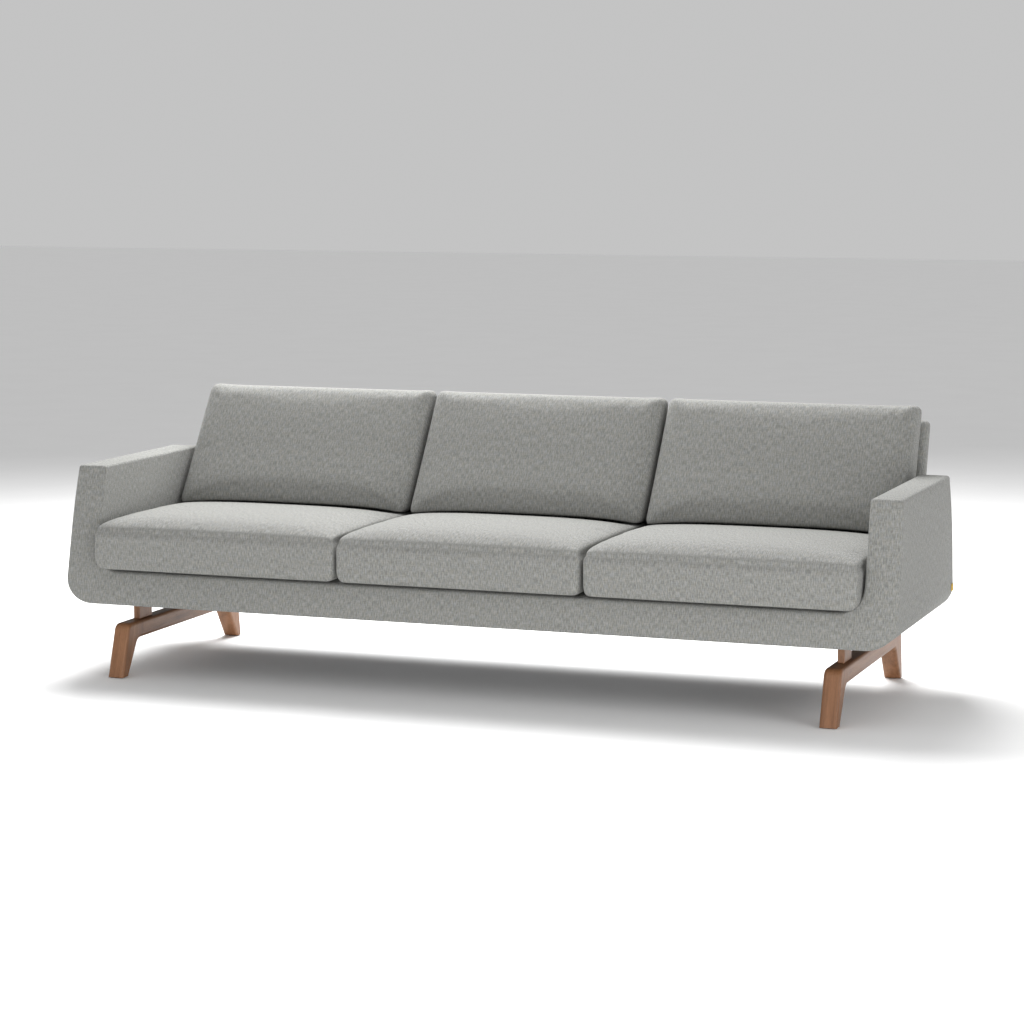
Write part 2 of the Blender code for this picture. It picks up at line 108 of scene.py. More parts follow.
# %% Shader helpers
class Finish:
    """One material and the short calls that build it."""

    def __init__(self, name, **sockets):
        self.material = bpy.data.materials.new(name)
        self.material.use_nodes = True
        self.tree = self.material.node_tree
        self.shader = self.tree.nodes["Principled BSDF"]
        for socket, value in sockets.items():
            self.shader.inputs[socket.replace("_", " ")].default_value = value

    def node(self, kind, links=None, values=None, **settings):
        made = self.tree.nodes.new(kind)
        for key, value in settings.items():
            setattr(made, key, value)
        for key, value in (values or {}).items():
            made.inputs[key].default_value = value
        for key, source in (links or {}).items():
            self.tree.links.new(source, made.inputs[key])
        return made

    def math(self, operation, first, second=None):
        made = self.tree.nodes.new("ShaderNodeMath")
        made.operation = operation
        for socket, value in zip(made.inputs, (first, second)):
            if value is None:
                continue
            if isinstance(value, (int, float)):
                socket.default_value = value
            else:
                self.tree.links.new(value, socket)
        return made.outputs[0]

    def place(self, scale, source="Object", turn=(0, 0, 0)):
        if source == "Object":
            start = self.node("ShaderNodeTexCoord").outputs["Object"]
        else:
            start = self.node("ShaderNodeUVMap", uv_map=source).outputs["UV"]
        if any(turn):
            turned = self.node("ShaderNodeMapping", {"Vector": start}, {"Rotation": turn})
            start = turned.outputs["Vector"]
        return self.node("ShaderNodeMapping", {"Vector": start}, {"Scale": scale}).outputs["Vector"]

    def noise(self, where, scale, detail=3.0, roughness=0.55, distortion=0.0):
        values = {"Scale": scale, "Detail": detail, "Roughness": roughness}
        values["Distortion"] = distortion
        return self.node("ShaderNodeTexNoise", {"Vector": where}, values).outputs["Fac"]

    def weighed(self, *layers):
        """The sum of several patterns, each given with its share."""
        total = None
        for source, share in layers:
            part = self.math("MULTIPLY", source, share)
            total = part if total is None else self.math("ADD", total, part)
        return total

    def ramp(self, factor, stops):
        made = self.node("ShaderNodeValToRGB", {"Fac": factor})
        made.color_ramp.elements[0].position = stops[0][0]
        made.color_ramp.elements[0].color = (*stops[0][1], 1)
        made.color_ramp.elements[1].position = stops[-1][0]
        made.color_ramp.elements[1].color = (*stops[-1][1], 1)
        for position, color in stops[1:-1]:
            made.color_ramp.elements.new(position).color = (*color, 1)
        return made.outputs["Color"]

    def mix(self, factor, first, second, blend="MIX"):
        made = self.tree.nodes.new("ShaderNodeMix")
        made.data_type = "RGBA"
        made.blend_type = blend
        for index, value in ((0, factor), (6, first), (7, second)):
            if isinstance(value, (int, float)):
                made.inputs[index].default_value = value
            elif isinstance(value, tuple):
                made.inputs[index].default_value = (*value, 1)
            else:
                self.tree.links.new(value, made.inputs[index])
        return made.outputs[2]

    def bump(self, height, strength, distance):
        values = {"Strength": strength, "Distance": distance}
        made = self.node("ShaderNodeBump", {"Height": height}, values)
        self.tree.links.new(made.outputs["Normal"], self.shader.inputs["Normal"])

    def wire(self, source, socket):
        self.tree.links.new(source, self.shader.inputs[socket])


GREY_BLUE = 0.945   # the share of blue that makes a grey slightly warm


def grey(value):
    return (value, value, value * GREY_BLUE)


# %% [markdown]
# ## The grey cloth
#
# The cover is a heathered wool blend: light and dark fibres spun together, then woven plain.
# Seen close it is a grid of threads. From a few steps away only soft streaks are left, where
# darker lengths of yarn lie along the warp or the weft. Four layers of noise give that: one
# stretched along each thread direction, a broad one and a very fine one. A fifth makes some
# yarn a little warmer and some a little cooler. A checker that swaps two sets of bands makes
# the threads go over and under. The pattern follows the cover, so it reads a UV map in metres
# that `lay_cloth` writes onto each soft piece.

# %% Cloth finish
THREAD = 0.0017          # from one thread to the next
BANDS_PER_UNIT = 0.31416  # a Wave texture repeats at this length for a scale of 1
CLOTH_UV = "cloth"
WARP_STREAKS, WEFT_STREAKS, TINT_STREAKS = (370, 62, 1), (62, 400, 1), (300, 60, 1)
BROAD_SCALE, YARN_SCALE = 60.0, 900.0
WARP_SHARE, WEFT_SHARE, BROAD_SHARE, YARN_SHARE = 0.58, 0.24, 0.06, 0.12
RAMP_WIDTH = 0.16         # half of the noise's range that the colours are spread over
COOL_TINT, WARM_TINT = (0.965, 0.99, 1.03), (1.025, 1.005, 0.96)
BETWEEN_THREADS = (0.80, 0.80, 0.80)


def woven(name, light, dark, streak=0.5, thread=THREAD):
    cloth = Finish(name, Roughness=0.92, Sheen_Weight=0.18, Sheen_Roughness=0.5)
    cloth.shader.inputs["Specular IOR Level"].default_value = 0.25
    plain = cloth.place((1, 1, 1), CLOTH_UV)
    warp = cloth.noise(cloth.place(WARP_STREAKS, CLOTH_UV), 1.0, 2.0, 0.6)
    weft = cloth.noise(cloth.place(WEFT_STREAKS, CLOTH_UV), 1.0, 2.0, 0.6)
    broad = cloth.noise(plain, BROAD_SCALE, 3.0, 0.6)
    yarn = cloth.noise(plain, YARN_SCALE, 2.0, 0.5)
    fibres = cloth.weighed(
        (warp, WARP_SHARE), (weft, WEFT_SHARE), (broad, BROAD_SHARE), (yarn, YARN_SHARE)
    )
    spread = RAMP_WIDTH * streak
    middle = tuple((a + b) / 2 for a, b in zip(light, dark))
    color = cloth.ramp(fibres, [(0.5 - spread, dark), (0.5, middle), (0.5 + spread, light)])
    drift = cloth.noise(cloth.place(TINT_STREAKS, CLOTH_UV), 1.0, 2.0)
    tint = cloth.ramp(drift, [(0.38, COOL_TINT), (0.62, WARM_TINT)])
    color = cloth.mix(1.0, color, tint, "MULTIPLY")
    scale = BANDS_PER_UNIT / thread
    across, along = (
        cloth.node("ShaderNodeTexWave", {"Vector": plain}, {"Scale": scale}, bands_direction=way)
        for way in "XY"
    )
    over = cloth.node("ShaderNodeTexChecker", {"Vector": plain}, {"Scale": 1 / thread})
    weave = cloth.mix(over.outputs["Fac"], across.outputs["Color"], along.outputs["Color"])
    shade = cloth.ramp(weave, [(0.0, BETWEEN_THREADS), (0.6, (1.0, 1.0, 1.0))])
    cloth.wire(cloth.mix(1.0, color, shade, "MULTIPLY"), "Base Color")
    height = cloth.math("ADD", weave, cloth.math("MULTIPLY", yarn, 0.7))
    cloth.bump(height, 0.5, 0.0006)
    return cloth.material


COVER_CLOTH = woven("cover_cloth", grey(0.325), grey(0.190))
print("cloth finish:", COVER_CLOTH.name)

# %% [markdown]
# ## Helpers for pieces
#
# Every soft piece ends the same way: its mesh becomes an object at the origin, it gets smooth
# shading, the cloth's UV map and a material, and it is told which body it rides on and which
# plain solid it stands for. The UV map looks at each face, drops the axis that the face looks
# along, and uses the other two in metres, which is how a cutter lays cloth on a block.

# %% Piece helpers
def lay_cloth(mesh):
    """Writes the cloth's UV map: metres along the two axes that each face lies in."""
    layer = mesh.uv_layers.get(CLOTH_UV) or mesh.uv_layers.new(name=CLOTH_UV)
    count = len(mesh.polygons)
    normals = np.empty(count * 3, np.float32)
    mesh.polygons.foreach_get("normal", normals)
    sides = np.abs(normals.reshape(-1, 3)).argmax(axis=1)
    corners = np.empty(count, np.int32)
    mesh.polygons.foreach_get("loop_total", corners)
    sides = np.repeat(sides, corners)
    index = np.empty(len(mesh.loops), np.int32)
    mesh.loops.foreach_get("vertex_index", index)
    points = np.empty(len(mesh.vertices) * 3, np.float32)
    mesh.vertices.foreach_get("co", points)
    points = points.reshape(-1, 3)[index]
    first = np.where(sides == 0, points[:, 1], points[:, 0])
    second = np.where(sides == 2, points[:, 1], points[:, 2])
    layer.data.foreach_set("uv", np.stack([first, second], axis=1).ravel())


def to_object(name, bm):
    """A finished bmesh as an object at the origin, with its faces pointing out."""
    bmesh.ops.recalc_face_normals(bm, faces=bm.faces)
    mesh = bpy.data.meshes.new(name)
    bm.to_mesh(mesh)
    bm.free()
    piece = bpy.data.objects.new(name, mesh)
    bpy.context.scene.collection.objects.link(piece)
    return piece


def settle(piece, material, body, stands_for=(), smooth_angle=35):
    """Shading, cloth map, material, body, slot and the solids that a piece stands for."""
    mesh = piece.data
    mesh.shade_smooth()
    mesh.set_sharp_from_angle(angle=math.radians(smooth_angle))
    lay_cloth(mesh)
    mesh.materials.clear()
    mesh.materials.append(material)
    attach(piece, body)
    if stands_for:
        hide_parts(*stands_for)
    print(f"{piece.name}: {len(mesh.polygons)} faces")
    return piece


def positions(mesh):
    points = np.empty(len(mesh.vertices) * 3, np.float32)
    mesh.vertices.foreach_get("co", points)
    return points.reshape(-1, 3).astype(float)


def set_positions(mesh, points):
    mesh.vertices.foreach_set("co", points.astype(np.float32).ravel())
    mesh.update()


def applied(piece):
    """Makes a piece's modifiers real."""
    graph = bpy.context.evaluated_depsgraph_get()
    mesh = bpy.data.meshes.new_from_object(piece.evaluated_get(graph))
    old = piece.data
    piece.modifiers.clear()
    piece.data = mesh
    mesh.name = piece.name
    bpy.data.meshes.remove(old)
    return piece


def cube_between(bm, low, high):
    """A box from one corner to the other, and its vertices."""
    made = bmesh.ops.create_cube(bm, size=1.0)["verts"]
    bmesh.ops.scale(bm, vec=[b - a for a, b in zip(low, high)], verts=made)
    bmesh.ops.translate(bm, vec=[(a + b) / 2 for a, b in zip(low, high)], verts=made)
    return made


def cut_at(bm, axis, place):
    """A loop of edges round the whole mesh at one coordinate."""
    normal = [0, 0, 0]
    normal[axis] = 1
    point = [0, 0, 0]
    point[axis] = place
    geometry = bm.verts[:] + bm.edges[:] + bm.faces[:]
    bmesh.ops.bisect_plane(bm, geom=geometry, dist=1e-6, plane_co=point, plane_no=normal)


def round_edges(bm, edges, width, segments, clamp=True):
    bmesh.ops.bevel(
        bm, geom=list(edges), offset=width, offset_type="OFFSET", segments=segments,
        profile=0.5, affect="EDGES", clamp_overlap=clamp, material=-1,
    )


NEAR = 1e-4   # coordinates that differ by less than this count as the same
SHARP = 0.9   # an edge that turns by more than this, in radians, counts as sharp


def sharp_edges(bm):
    return [e for e in bm.edges if len(e.link_faces) == 2 and e.calc_face_angle() > SHARP]


def middle_of(edge):
    return (edge.verts[0].co + edge.verts[1].co) / 2


# %% [markdown]
# ## The body: arms, front rail and deck in one wrapped form
#
# On the real sofa one padded cover wraps the left arm, the front rail and the right arm in a
# single U with round outer corners. It could be three boxes with seams hidden in the corners,
# but the eye follows the U without a break, so it is one mesh. It starts as a block for the
# right arm. Two of its inner faces are pulled out to the sofa's middle: a tall one that makes
# the front rail, and a thin one that makes the deck. The lower corners are rounded, then the
# whole half is mirrored. While it is built, Y runs from 0 at the front to 1 at the rear, so
# the lean of the front and the rear faces can be put in with one rule. Then the sharp outer
# edges are rounded, and the deck's front edge is lowered, which leaves a line of shade below
# the cushions.

# %% Body cover
OUTER_CORNER = 0.090      # how far the outer corner's curve runs along the underside
OUTER_CORNER_HIGH = 0.077
INNER_CORNER = 0.062
ARM_WIDEST_Z = 0.400
ARM_TOP_LEAN = 0.008
RAIL_SHARE, DECK_SHARE = 0.12, 0.917
DECK_SKIN = 0.0135
COVER_ROUND = 0.008
ARM_BENDS = (0.36, 0.40, 0.44, 0.48, 0.52, 0.56, 0.59)   # heights where the arm may bend
DIP_BENDS = (0.03, 0.06, 0.09)   # shares of the depth where the deck may bend
FRONT_DIP = 0.009         # how far the deck's front edge is lowered
DIP_START, DIP_FADE = 0.290, 0.025   # the height where the dip starts, and how soon it is whole
MIRROR_MERGE, ROUND_MERGE = 1e-5, 2e-4   # points closer than this become one
FLAT = 0.002              # radians, below which two faces lie in one plane


def half_body():
    bm = bmesh.new()
    cube_between(bm, (ARM_INNER, 0, UNDERSIDE), (ARM_WIDEST, 1, ARM_TOP))
    for axis, place in ((2, DECK_TOP), (2, DECK_TOP - DECK_SKIN), (1, RAIL_SHARE), (1, DECK_SHARE)):
        cut_at(bm, axis, place)
    pulled = []
    for face in bm.faces:
        if face.normal.x > -0.9:
            continue
        x, y, z = face.calc_center_median()
        in_rail = z < DECK_TOP - DECK_SKIN and y < RAIL_SHARE
        in_deck = DECK_TOP - DECK_SKIN < z < DECK_TOP and y < DECK_SHARE
        if in_rail or in_deck:
            pulled.append(face)
    grown = bmesh.ops.extrude_face_region(bm, geom=pulled)["geom"]
    bmesh.ops.delete(bm, geom=[f for f in pulled if f.is_valid], context="FACES_ONLY")
    moved = [v for v in grown if isinstance(v, bmesh.types.BMVert)]
    bmesh.ops.translate(bm, vec=(-ARM_INNER, 0, 0), verts=moved)
    ends = [f for f in bm.faces if abs(f.calc_center_median().x) < NEAR]
    bmesh.ops.delete(bm, geom=ends, context="FACES_ONLY")
    return bm


def round_corners(bm):
    def along_y(edge):
        a, b = edge.verts
        return abs(a.co.x - b.co.x) < NEAR and abs(a.co.z - b.co.z) < NEAR

    outer = []
    inner = []
    for edge in bm.edges:
        if not along_y(edge):
            continue
        x, y, z = middle_of(edge)
        if abs(x - ARM_WIDEST) < NEAR and abs(z - UNDERSIDE) < NEAR:
            outer.append(edge)
        if abs(x - ARM_INNER) < NEAR and abs(z - DECK_TOP) < NEAR and y < DECK_SHARE:
            inner.append(edge)
    round_edges(bm, outer, OUTER_CORNER, segments=14)
    inner = [e for e in inner if e.is_valid]
    round_edges(bm, inner, INNER_CORNER, segments=10)


def lean_body(bm):
    """Flattens the outer corner a little, narrows the arms upwards and leans both ends."""
    for vert in bm.verts:
        x, y, z = vert.co
        up = z - UNDERSIDE
        if x > ARM_WIDEST - OUTER_CORNER - NEAR and up < OUTER_CORNER:
            z = UNDERSIDE + up * OUTER_CORNER_HIGH / OUTER_CORNER
        if x > ARM_WIDEST - NEAR and z > ARM_WIDEST_Z:
            x -= ARM_TOP_LEAN * ((z - ARM_WIDEST_Z) / (ARM_TOP - ARM_WIDEST_Z)) ** 2
        depth = front_depth(z) + y * (arm_rear_depth(z) - front_depth(z))
        vert.co = (x, at(depth), z)


def dip_front(bm):
    """Lowers the deck's front edge between the arms, where the cloth turns down the rail."""
    for vert in bm.verts:
        x, y, z = vert.co
        front, rear = front_depth(z), arm_rear_depth(z)
        share = (y - at(front)) / (rear - front)
        if abs(x) < ARM_INNER and share < RAIL_SHARE:
            across = min(1.0, (ARM_INNER - abs(x)) / INNER_CORNER)
            upper = min(1.0, max(0.0, (z - DIP_START) / DIP_FADE))
            vert.co.z -= FRONT_DIP * across * upper * (1 - max(0.0, share) / RAIL_SHARE) ** 1.5


def body_cover():
    bm = half_body()
    round_corners(bm)
    for z in ARM_BENDS:
        cut_at(bm, 2, z)
    for share in DIP_BENDS:
        cut_at(bm, 1, share)
    lean_body(bm)
    half = bm.verts[:] + bm.edges[:] + bm.faces[:]
    bmesh.ops.mirror(bm, geom=half, axis="X", merge_dist=MIRROR_MERGE)
    bmesh.ops.recalc_face_normals(bm, faces=bm.faces)
    bmesh.ops.dissolve_limit(bm, angle_limit=FLAT, verts=bm.verts, edges=bm.edges)
    sharp = sharp_edges(bm)
    convex = [e for e in sharp if e.is_convex]
    print("body cover:", len(sharp), "sharp edges,", len(convex), "of them rounded")
    round_edges(bm, convex, COVER_ROUND, segments=4, clamp=False)
    bmesh.ops.remove_doubles(bm, verts=bm.verts, dist=ROUND_MERGE)
    dip_front(bm)
    return to_object("body_cover", bm)


BODY_COVER = body_cover()
settle(
    BODY_COVER, COVER_CLOTH, "body",
    ("arm_upholstery_left", "arm_upholstery_right", "front_rail_upholstery", "seat_deck"),
)
print("body cover box:", [round(v, 3) for v in BODY_COVER.dimensions])

# %% [markdown]
# ## The back between the arms
#
# Behind the loose cushions stands a low padded back. It is a thin wedge that leans backwards:
# its front face rises from the deck, its top is a round roll, and its rear cloth runs down to
# the underside and hides the rear rail. It is made as a block whose corners are moved to the
# lean, with its top edges and its upper corners rounded. The bottom is opened and the cloth is
# given a small thickness inwards, because the posts and the top rail stand inside.

# %% Back cover
BACK_FOOT_DEPTH = 0.8083
BACK_BEND_Z = 0.337
BACK_ROLL = 0.020
BACK_SKIN = 0.005
BACK_GAP = 0.0005         # between this cover and the one it stands against


def back_cover():
    half = ARM_INNER - BACK_GAP
    bm = bmesh.new()
    cube_between(bm, (-half, 0, UNDERSIDE), (half, 1, BACK_TOP))
    cut_at(bm, 2, BACK_BEND_Z)
    for vert in bm.verts:
        x, y, z = vert.co
        if y < 0.5:
            z = max(z, DECK_TOP + BACK_GAP) if z < BACK_BEND_Z - NEAR else z
            depth = back_front_depth(z)
        else:
            depth = BACK_FOOT_DEPTH if z < BACK_BEND_Z - NEAR else back_rear_depth(z)
        vert.co = (x, at(depth), z)
    top = [e for e in bm.edges if all(v.co.z > BACK_TOP - NEAR for v in e.verts)]
    upright = [
        e for e in bm.edges
        if all(abs(v.co.x) > half - NEAR for v in e.verts)
        and max(v.co.z for v in e.verts) > BACK_TOP - NEAR
        and e not in top
    ]
    round_edges(bm, top + upright, BACK_ROLL, segments=6)
    bmesh.ops.recalc_face_normals(bm, faces=bm.faces)
    lowest = [f for f in bm.faces if f.normal.z < -0.5]
    bmesh.ops.delete(bm, geom=lowest, context="FACES_ONLY")
    piece = to_object("back_cover", bm)
    wall = piece.modifiers.new("Wall", "SOLIDIFY")
    wall.thickness = BACK_SKIN
    wall.offset = -1
    return applied(piece)


BACK_COVER = back_cover()
settle(
    BACK_COVER, COVER_CLOTH, "body",
    ("back_upholstery", "outside_back_panel"),
)
print("back cover box:", [round(v, 3) for v in BACK_COVER.dimensions])

# %% [markdown]
# ## Six loose cushions: the block
#
# A seat cushion is a slab of foam in a sewn case: a top panel, a bottom panel and a strip
# between them called the boxing. A back cushion is a wedge, thick at the bottom and thin at
# the top, so that it leans more than the frame behind it. Both start as a block whose corners
# are moved to the cushion's side view. The edges that are rounder than the rest are rounded
# first, and then the others. A voxel remesh turns the block into even small squares, which
# is what a cloth simulation needs.

# %% Cushion blocks
VOXEL = 0.009
SMOOTH_PASSES = 3
EDGE_ROUND = {"seat": 0.013, "back": 0.017}
# Loose cushions never lie quite evenly: how far each one's two ends lie from its place.
END_SHIFTS = {
    "seat_cushion_left": (0.0, -0.005), "seat_cushion_centre": (-0.005, -0.008),
    "seat_cushion_right": (-0.008, 0.0), "back_cushion_left": (-0.009, -0.007),
    "back_cushion_centre": (-0.007, -0.004), "back_cushion_right": (-0.004, 0.001),
}
SEAT_CORNERS = ((0.039, 0.3235), (0.041, 0.4460), (0.700, 0.4460), (0.700, 0.3235))
BACK_CORNERS = ((0.586, 0.4545), (0.845, 0.8285), (0.9005, 0.804), (0.7775, 0.4510))


def cushion_block(name, x_low, x_high, corners, special, base_round):
    """A rounded block. corners are (depth, height): front low, front high, rear high, rear low."""
    bm = bmesh.new()
    cube_between(bm, (x_low, 0, 0), (x_high, 1, 1))
    front_low, front_high, rear_high, rear_low = corners
    for vert in bm.verts:
        corner = {(0, 0): front_low, (0, 1): front_high, (1, 1): rear_high, (1, 0): rear_low}[
            (round(vert.co.y), round(vert.co.z))
        ]
        vert.co = (vert.co.x, at(corner[0]), corner[1])
    middle = Vector((
        (x_low + x_high) / 2,
        at(sum(c[0] for c in corners) / 4),
        sum(c[1] for c in corners) / 4,
    ))
    for chosen, width, segments in special:
        edges = [e for e in bm.edges if e.is_valid and chosen(middle_of(e) - middle, e)]
        round_edges(bm, edges, width, segments)
    round_edges(bm, sharp_edges(bm), base_round, segments=5)
    piece = to_object(name, bm)
    remesh = piece.modifiers.new("Squares", "REMESH")
    remesh.mode = "VOXEL"
    remesh.voxel_size = VOXEL
    applied(piece)
    bm = bmesh.new()
    bm.from_mesh(piece.data)
    for _ in range(SMOOTH_PASSES):
        bmesh.ops.smooth_vert(
            bm, verts=bm.verts, factor=0.5, use_axis_x=True, use_axis_y=True, use_axis_z=True
        )
    bm.to_mesh(piece.data)
    bm.free()
    return piece


def runs_along(edge, axis):
    way = (edge.verts[1].co - edge.verts[0].co).normalized()
    return abs(way[axis]) > 0.99


def shoulder(u, power):
    """1 in the middle of a panel and 0 at its seam, flat for long and then falling away."""
    return np.clip(1 - np.abs(u) ** power, 0, None)


def hump(v, rear_power):
    """The seat's side view: up quickly behind the front seam, then slowly down to the rear."""
    return np.where(v < 0, shoulder(v, 7.0), shoulder(v, rear_power))


def crown_seat(piece, side_rise=0.016, rise=0.016):
    """Raises the top panel, less at its sides than in its middle."""
    points = positions(piece.data)
    low, high = points.min(axis=0), points.max(axis=0)
    u, v, w = ((points - low) / (high - low) * 2 - 1).T
    share = np.clip((w + 1) / 2, 0, 1) ** 1.5
    points[:, 2] += share * (side_rise * hump(v, 1.5) + rise * hump(v, 3.0) * shoulder(u, 3.0))
    set_positions(piece.data, points)


BACK_ARCH, BACK_ARCH_FADE = 0.0165, 0.200  # the underside arches over the seat's crown
BACK_SWELL_FADE = 0.06    # the swell dies away this far behind the front panel


def front_panel_of_back():
    """A low point of the front panel, the way up it and the way it faces, as (Y, Z), and its height."""
    (y0, z0), (y1, z1) = BACK_CORNERS[0], BACK_CORNERS[1]
    up = np.array([y1 - y0, z1 - z0])
    length = np.hypot(*up)
    up = up / length
    return np.array([at(y0), z0]), up, np.array([-up[1], up[0]]), length


def crown_back(piece, rise=0.012, pull=0.0008):
    """Fills out the front panel, along the way that it faces."""
    points = positions(piece.data)
    low, high = points.min(axis=0), points.max(axis=0)
    foot, up, out, length = front_panel_of_back()
    flat = points[:, 1:] - foot
    along = flat @ up / length * 2 - 1
    proud = flat @ out
    share = np.clip(1 + proud / BACK_SWELL_FADE, 0, 1)
    u = (points[:, 0] - low[0]) / (high[0] - low[0]) * 2 - 1
    swell = rise * share * shoulder(u, 2.6) * shoulder(along, 2.6)
    points[:, 1] += swell * out[0]
    points[:, 2] += swell * out[1]
    points[:, 0] -= pull * u * shoulder(along, 2.0)
    lowest = np.clip(1 - (points[:, 2] - low[2]) / BACK_ARCH_FADE, 0, 1)
    lowest = lowest ** 2 * (3 - 2 * lowest)
    points[:, 2] += BACK_ARCH * lowest * shoulder(u, 4.0)
    set_positions(piece.data, points)


# Edges are told apart by how far their middles lie from the cushion's middle.
ASIDE, AHEAD, BELOW, LEVEL = 0.1, 0.1, 0.04, 0.02
BACK_ABOVE, BACK_BEHIND = 0.10, 0.115
# The width and the segments of each rounder edge.
OUTER_BOTTOM, INNER_BOTTOM, FRONT_UPRIGHT, FRONT_TOP = (0.026, 6), (0.019, 5), (0.014, 4), (0.034, 7)


def edges_of_seat(side):
    """The rounder edges of a seat cushion. side is -1 or 1 if an arm's curve is below it, else 0."""
    def outer_bottom(place, edge):
        return side != 0 and place.x * side > ASIDE and place.z < -BELOW and runs_along(edge, 1)

    def inner_bottom(place, edge):
        return place.z < -BELOW and runs_along(edge, 1) and not outer_bottom(place, edge)

    def front_uprights(place, edge):
        return place.y < -AHEAD and abs(place.z) < LEVEL and not runs_along(edge, 0)

    return (
        (outer_bottom, *OUTER_BOTTOM), (inner_bottom, *INNER_BOTTOM),
        (front_uprights, *FRONT_UPRIGHT),
    )


def edges_of_back():
    def front_top(place, edge):
        return place.z > BACK_ABOVE and place.y < BACK_BEHIND and runs_along(edge, 0)

    return ((front_top, *FRONT_TOP),)


CUSHIONS = {}
for kind, corners, crown in (("seat", SEAT_CORNERS, crown_seat), ("back", BACK_CORNERS, crown_back)):
    for side, name in ((-1, "left"), (0, "centre"), (1, "right")):
        node = f"{kind}_cushion_{name}"
        low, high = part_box(node)
        special = edges_of_seat(side) if kind == "seat" else edges_of_back()
        ends = (low.x + END_SHIFTS[node][0], high.x + END_SHIFTS[node][1])
        piece = cushion_block(f"{node}_case", *ends, corners, special, EDGE_ROUND[kind])
        crown(piece)
        CUSHIONS[node] = piece
        print(piece.name, len(piece.data.vertices), "points")

# %% [markdown]
# ## Six loose cushions: the filling
#
# Foam pushes its case out until the cloth is taut, and the seams hold it back. A cloth
# simulation with a little pressure inside and no gravity does the same. It could swell for as
# long as it likes, so each point is held to a short way from where it started: seven
# millimetres on the panel that faces the sitter, under two on the boxing, and almost nothing
# on the underside, which lies flat on the deck. All six run in the same twenty steps.

# %% Filling by cloth simulation
PRESSURE = 4.0
STEPS = 20
PANEL_WAY, BOXING_WAY, UNDER_WAY = 0.007, 0.0017, 0.0005
UNDER_BACK_DEPTH = 0.54   # behind this a seat lies under the back cushion and stays flat
UNDER_BACK_FADE = 0.05
CLOTH_QUALITY = 4
FACING = {"seat": np.array([0, 0, 1.0]), "back": np.array([0, -0.81, 0.59])}


def vertex_normals(mesh):
    found = np.empty(len(mesh.vertices) * 3, np.float32)
    mesh.vertices.foreach_get("normal", found)
    return found.reshape(-1, 3).astype(float)


def fill_cases(cases):
    starts = {}
    for node, piece in cases.items():
        starts[node] = (positions(piece.data), vertex_normals(piece.data))
        cloth = piece.modifiers.new("Filling", "CLOTH")
        cloth.settings.quality = CLOTH_QUALITY
        cloth.settings.use_pressure = True
        cloth.settings.uniform_pressure_force = PRESSURE
        cloth.settings.effector_weights.gravity = 0
        cloth.point_cache.frame_start = 1
        cloth.point_cache.frame_end = STEPS
    scene = bpy.context.scene
    for step in range(1, STEPS + 1):
        scene.frame_set(step)
    graph = bpy.context.evaluated_depsgraph_get()
    for node, piece in cases.items():
        swollen = positions(piece.evaluated_get(graph).data)
        start, normals = starts[node]
        kind = node[:4]
        front = np.clip(normals @ FACING[kind], 0, 1)
        way = BOXING_WAY + (PANEL_WAY - BOXING_WAY) * front
        if kind == "seat":
            under = np.clip(-normals[:, 2], 0, 1)
            way = way + (UNDER_WAY - way) * under
            pressed = np.clip((start[:, 1] - at(UNDER_BACK_DEPTH)) / UNDER_BACK_FADE, 0, 1)
            way = way + (UNDER_WAY - way) * pressed * front
        move = swollen - start
        length = np.linalg.norm(move, axis=1)
        share = np.minimum(1.0, way / np.maximum(length, 1e-9))
        set_positions(piece.data, start + move * share[:, None])
        print(node, "moved up to", round(float(length.max()) * 1000, 1), "mm before its limit")
    for piece in cases.values():
        piece.modifiers.clear()
    scene.frame_set(1)


fill_cases(CUSHIONS)

# %% [markdown]
# ## Six loose cushions: seams and cloth
#
# Where a panel is sewn to the boxing the thread pulls both down into a shallow groove, and the
# panel rolls over it. A seam could be a separate cord, but this sofa has plain seams, so the
# groove is pressed into the cushion: each point close to the seam's line moves inwards, less
# the further it is away. One subdivision then makes the surface smooth.

# %% Seams, cloth and bodies
SEAT_SEAMS = ((0.4390, 0.0095), (0.3375, 0.0022))   # the height and the depth of each groove
SEAT_SEAM_WIDE = 0.0075
BACK_SEAM_IN, BACK_SEAM_DEEP, BACK_SEAM_WIDE = 0.019, 0.0028, 0.006


def press_seam(points, distance, inward, deep, wide):
    share = np.exp(-((distance / wide) ** 2))
    return points + inward * (deep * share)[:, None]


def seat_seams(piece):
    points = positions(piece.data)
    inward = -vertex_normals(piece.data)
    inward[:, 2] = 0
    for height, deep in SEAT_SEAMS:
        points = press_seam(points, points[:, 2] - height, inward, deep, SEAT_SEAM_WIDE)
    set_positions(piece.data, points)


def back_seams(piece):
    """Seams where the front panel meets the boxing, on the sides, the top and the bottom."""
    points = positions(piece.data)
    normals = vertex_normals(piece.data)
    foot, up, out, length = front_panel_of_back()
    behind = (points[:, 1:] - foot) @ out + BACK_SEAM_IN
    sideways = 1 - np.abs(normals[:, 1:] @ out)
    inward = -normals * sideways[:, None]
    set_positions(piece.data, press_seam(points, behind, inward, BACK_SEAM_DEEP, BACK_SEAM_WIDE))


for node, piece in CUSHIONS.items():
    if node.startswith("seat"):
        seat_seams(piece)
    else:
        back_seams(piece)
    finer = piece.modifiers.new("Finer", "SUBSURF")
    finer.levels = finer.render_levels = 1
    applied(piece)
    settle(piece, COVER_CLOTH, node, (node,), smooth_angle=180)

# %% [markdown]
# ## The cloth below and the tab on the arm
#
# Under the body a black nonwoven cloth is stapled to the frame to keep dust out. It is one
# flat sheet, pulled tight but not perfectly, so it hangs a millimetre or two between the rails.
# It is a grid whose middle points are lowered. The tab is a short folded ribbon sewn into the
# seam low on the right arm. It is blank here. A thin block with rounded edges, bent a little
# away from the arm, gives the fold.

